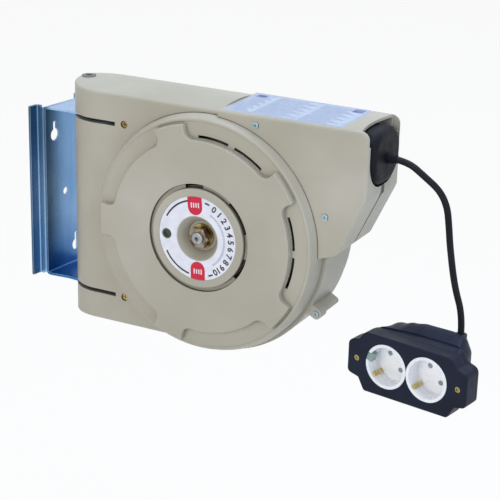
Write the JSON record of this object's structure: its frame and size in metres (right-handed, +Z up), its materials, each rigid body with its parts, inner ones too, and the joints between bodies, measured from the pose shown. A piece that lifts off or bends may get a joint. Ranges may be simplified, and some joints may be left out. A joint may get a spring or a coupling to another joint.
{
  "type": "extension cord reel",
  "caption": "Wall-mounted spring-return extension cord reel: swivelling flat case on a bracket, cord with a parked stopper and a twin socket box.",
  "frame": {"origin": "on the wall plane, in the middle of the wall bracket", "axes": "+X away from the wall towards the cord outlet, +Z up, -Y the side with the hub plug and the sockets"},
  "size_m": [0.485, 0.1352, 0.2695],
  "materials": {
    "zinc_sheet": "bright zinc plate with a bluish passivation",
    "housing": "warm grey moulded plastic, fine grain",
    "hub_cap_plastic": "warm grey moulded plastic with a white printed ring",
    "steel": "plain turned steel",
    "brass": "yellow passivated",
    "zinc_screw": "bright zinc plate",
    "bronze": "sintered bronze",
    "black_rubber": "blue-black rubber, satin",
    "cord_jacket": "black rubber jacket",
    "drum_plastic": "dark grey moulded plastic",
    "board": "brown laminate",
    "copper": "bare copper",
    "carbon": "graphite",
    "spring_steel": "blued spring steel",
    "socket_white": "white thermoplastic",
    "key_grey": "grey-green thermoplastic",
    "plug_dark": "dark plug"
  },
  "bodies": {
    "bracket": {"wall_bracket": "zinc_sheet", "arm_bushes": "bronze"},
    "reel": {"pivot_washers": "steel", "pivot_pin": "steel", "near_shell": "housing", "far_shell": "housing", "recessed_case_screws": "brass", "panel_screws": "zinc_screw", "inlet_grommet": "black_rubber", "near_cover": "housing", "far_cover": "housing", "hub_cap": "hub_cap_plastic", "far_hub_cap": "hub_cap_plastic", "hub_plug": "plug_dark", "main_shaft": "steel", "shaft_nuts": "brass", "shaft_washers": "brass", "brush_holder": "board", "brush_arms": "copper", "carbon_brushes": "carbon", "pawl_pin": "steel", "pawl_spring": "spring_steel", "spring_arbor": "steel", "roller_frame": "drum_plastic", "roller_pins": "steel", "stopper_near_half": "black_rubber", "stopper_far_half": "black_rubber", "stopper_screws": "steel", "stopper_boot": "black_rubber", "cord_lead_in": "cord_jacket", "cord_free": "cord_jacket", "box_front": "black_rubber", "box_back": "black_rubber", "box_gland": "black_rubber", "box_screws": "brass", "socket_inserts": "socket_white", "socket_key": "key_grey", "earth_clips": "brass", "socket_contacts": "brass"},
    "drum": {"drum_core": "drum_plastic", "drum_near_flange": "drum_plastic", "drum_far_flange": "drum_plastic", "drum_screws": "steel", "drum_bushes": "bronze", "cord_winding": "cord_jacket", "slip_ring_disc": "board", "slip_rings": "copper", "ratchet_wheel": "steel", "spring_case": "drum_plastic", "spring_case_lid": "steel", "main_spring": "spring_steel"},
    "pawl": {"pawl": "steel"},
    "near_roller": {"near_guide_roller": "drum_plastic"},
    "far_roller": {"far_guide_roller": "drum_plastic"},
    "lower_roller": {"lower_guide_roller": "drum_plastic"},
    "upper_roller": {"upper_guide_roller": "drum_plastic"}
  },
  "joints": [
    {"name": "case_swivel", "type": "hinge", "parent": "bracket", "child": "reel", "pos_m": [0.0775, 0, 0], "axis": [0, 0, 1], "range_deg": [-96.7, 83.3]},
    {"name": "drum_spin", "type": "hinge", "parent": "reel", "child": "drum", "pos_m": [0.2086, 0.0154, -0.004], "axis": [0.1167, -0.9932, 0], "continuous": true},
    {"name": "pawl_swing", "type": "hinge", "parent": "reel", "child": "pawl", "pos_m": [0.26258, -0.00776, 0.04691], "axis": [0.1167, -0.9932, 0], "range_deg": [-9, 10], "stiffness_Nm_per_rad": 0.3},
    {"name": "near_roller_spin", "type": "hinge", "parent": "reel", "child": "near_roller", "pos_m": [0.32158, 0.0179, 0.09], "axis": [0, 0, 1], "continuous": true},
    {"name": "far_roller_spin", "type": "hinge", "parent": "reel", "child": "far_roller", "pos_m": [0.31908, 0.03915, 0.09], "axis": [0, 0, 1], "continuous": true},
    {"name": "lower_roller_spin", "type": "hinge", "parent": "reel", "child": "lower_roller", "pos_m": [0.33622, 0.03039, 0.0793], "axis": [0.1167, -0.9932, 0], "continuous": true},
    {"name": "upper_roller_spin", "type": "hinge", "parent": "reel", "child": "upper_roller", "pos_m": [0.33622, 0.03039, 0.1007], "axis": [0.1167, -0.9932, 0], "continuous": true}
  ]
}
